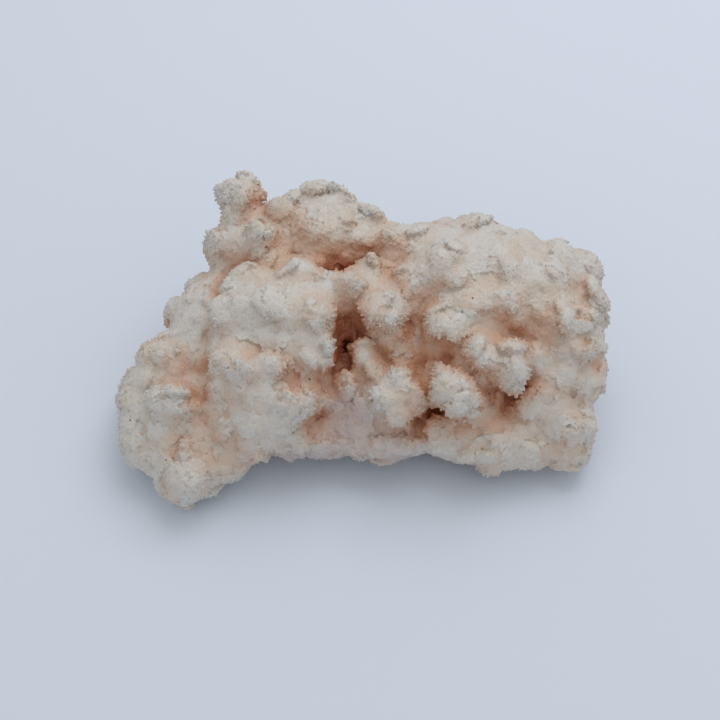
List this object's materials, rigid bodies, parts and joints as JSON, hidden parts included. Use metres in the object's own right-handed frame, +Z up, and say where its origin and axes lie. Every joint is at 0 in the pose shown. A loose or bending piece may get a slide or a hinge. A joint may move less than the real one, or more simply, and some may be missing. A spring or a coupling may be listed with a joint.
{
  "type": "aragonite specimen",
  "caption": "Hand-sized cluster of cave aragonite: rounded lobes and blunt knobs crusted with small crystals, flat underneath where it left the rock.",
  "frame": {"origin": "in the flat cut underneath, below the middle of the cluster's box", "axes": "+Z up, out of the cut; +X along the cluster, from its low end to its blunt end; +Y towards its back"},
  "size_m": [0.1128, 0.0732, 0.0402],
  "materials": {
    "aragonite": "sugary crystal crust, white to peach, rust in the hollows"
  },
  "bodies": {
    "root": {"aragonite_cluster": "aragonite"}
  },
  "joints": []
}
